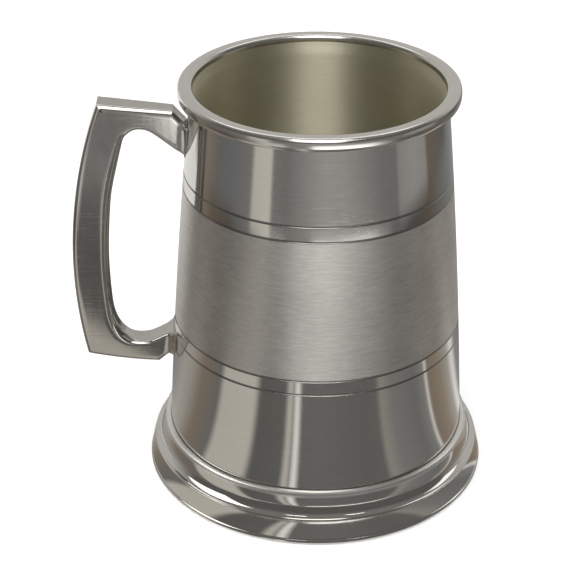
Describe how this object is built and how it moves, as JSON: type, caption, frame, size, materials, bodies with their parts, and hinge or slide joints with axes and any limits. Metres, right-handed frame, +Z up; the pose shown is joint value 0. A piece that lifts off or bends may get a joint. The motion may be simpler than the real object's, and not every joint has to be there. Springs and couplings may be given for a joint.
{
  "type": "tankard",
  "caption": "One-pint pewter tankard: tapered spun barrel with incised lines and a satin band, rolled lip, moulded foot skirt, flat-sided cast handle and soldered bottom",
  "frame": {"origin": "centre of the circle that the foot stands on, on the tankard's axis", "axes": "+Z up along the tankard's axis, the handle lies towards -X, Y runs across the handle's thickness"},
  "size_m": [0.125, 0.104, 0.125],
  "materials": {
    "pewter": "satin",
    "solder": "satin"
  },
  "bodies": {
    "root": {"barrel": "pewter", "bottom_plate": "pewter", "foot_skirt": "pewter", "handle": "pewter", "upper_handle_solder": "solder", "lower_handle_solder": "solder", "foot_seam_solder": "solder", "bottom_seam_solder": "solder"}
  },
  "joints": []
}
